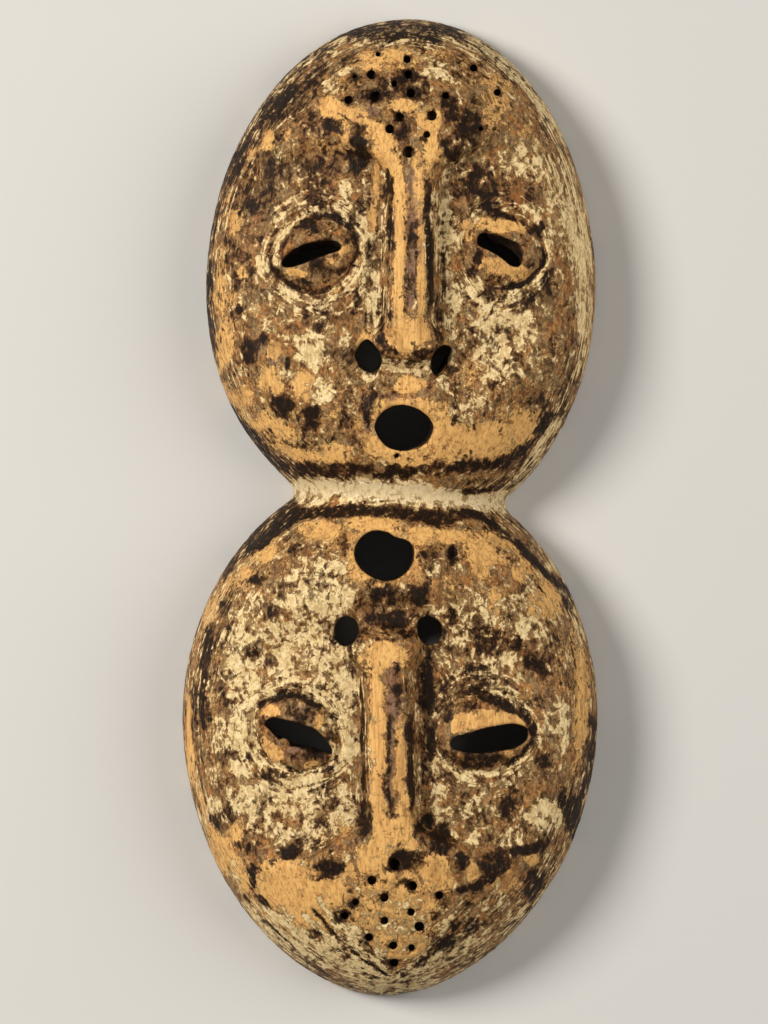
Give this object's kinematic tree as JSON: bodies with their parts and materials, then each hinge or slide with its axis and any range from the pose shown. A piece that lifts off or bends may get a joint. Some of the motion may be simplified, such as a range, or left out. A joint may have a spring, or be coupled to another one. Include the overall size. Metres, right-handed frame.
{
  "type": "lega mask",
  "caption": "Carved wooden mask of two oval faces joined chin to chin at a narrow neck, hollow behind, lying face up on its flat back rim.",
  "frame": {"origin": "middle of the flat back rim's bounding box, on the plane that the mask lies on", "axes": "+Y towards the crown of the upright face, +X to that face's right in the picture, +Z out of the faces"},
  "size_m": [0.1528, 0.36, 0.055],
  "materials": {
    "carved_wood": "bare worn wood and rubbed kaolin under a dark patchy patina, matt"
  },
  "bodies": {
    "root": {"mask": "carved_wood"}
  },
  "joints": []
}
